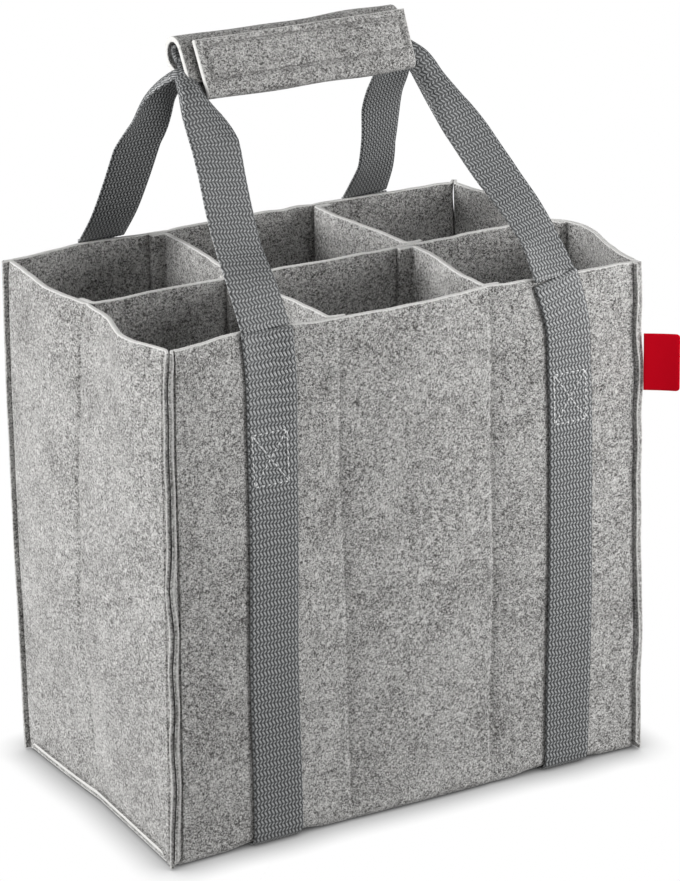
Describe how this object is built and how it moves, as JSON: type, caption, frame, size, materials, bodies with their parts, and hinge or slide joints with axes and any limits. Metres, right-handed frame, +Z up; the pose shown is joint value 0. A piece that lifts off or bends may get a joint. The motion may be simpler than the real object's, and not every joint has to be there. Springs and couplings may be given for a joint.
{
  "type": "bottle carrier",
  "caption": "Upright soft felt carrier for bottles: felt dividers form open cells, and webbing handles meet in a wrapped felt grip that opens with a flap.",
  "frame": {"origin": "on the ground, under the middle of the whole carrier's box with its tab and handles", "axes": "+X right along the long front, +Y from the front to the rear, +Z up; the side tab is at +X -Y"},
  "size_m": [0.2634, 0.181, 0.3502],
  "materials": {
    "felt": "pressed wool felt, light grey with darker fibres, matt",
    "webbing": "woven polypropylene webbing, mid grey, slight sheen",
    "thread": "polyester sewing thread, light grey",
    "fastening_tape": "woven hook and loop tape, grey",
    "tab": "folded woven ribbon, red, bare"
  },
  "bodies": {
    "carrier": {"body_wrap": "felt", "side_panel_left": "felt", "side_panel_right": "felt", "long_divider": "felt", "cross_divider_front_left": "felt", "cross_divider_front_right": "felt", "cross_divider_rear_left": "felt", "cross_divider_rear_right": "felt", "base_webbing_left": "webbing", "base_webbing_right": "webbing", "sewn_webbing_front_left": "webbing", "sewn_webbing_front_right": "webbing", "sewn_webbing_rear_left": "webbing", "sewn_webbing_rear_right": "webbing", "box_stitch_front_left": "thread", "box_stitch_front_right": "thread", "box_stitch_rear_left": "thread", "box_stitch_rear_right": "thread", "handle_leg_front_left": "webbing", "handle_leg_front_right": "webbing", "handle_leg_rear_left": "webbing", "handle_leg_rear_right": "webbing"},
    "handle": {"handle_run_front": "webbing", "handle_run_rear": "webbing", "grip_sleeve": "felt"},
    "outer_flap": {"grip_outer_flap": "felt", "hook_tape": "fastening_tape", "grip_stitch": "thread"},
    "inner_flap": {"grip_inner_flap": "felt", "loop_tape": "fastening_tape"},
    "tab": {"side_tab": "tab"}
  },
  "joints": [
    {"name": "handle_drop", "type": "slide", "parent": "carrier", "child": "handle", "axis": [0, 0, -1], "range_m": [0, 0.079], "deforming": ["handle_leg_front_left", "handle_leg_front_right", "handle_leg_rear_left", "handle_leg_rear_right"]},
    {"name": "grip_flap", "type": "hinge", "parent": "handle", "child": "outer_flap", "pos_m": [-0.0153, -0.00533, 0.33041], "axis": [1, 0, 0], "range_deg": [0, 150]},
    {"name": "inner_flap_lift", "type": "hinge", "parent": "handle", "child": "inner_flap", "pos_m": [-0.0153, 0.01084, 0.34614], "axis": [-1, 0, 0], "range_deg": [0, 37.5]},
    {"name": "tab_bend", "type": "hinge", "parent": "carrier", "child": "tab", "pos_m": [0.11753, -0.07845, 0.193], "axis": [0, 0, 1], "range_deg": [-50, 50]}
  ],
  "couplings": [
    {"joint": "inner_flap_lift", "follows": "grip_flap", "ratio": 0.25}
  ]
}
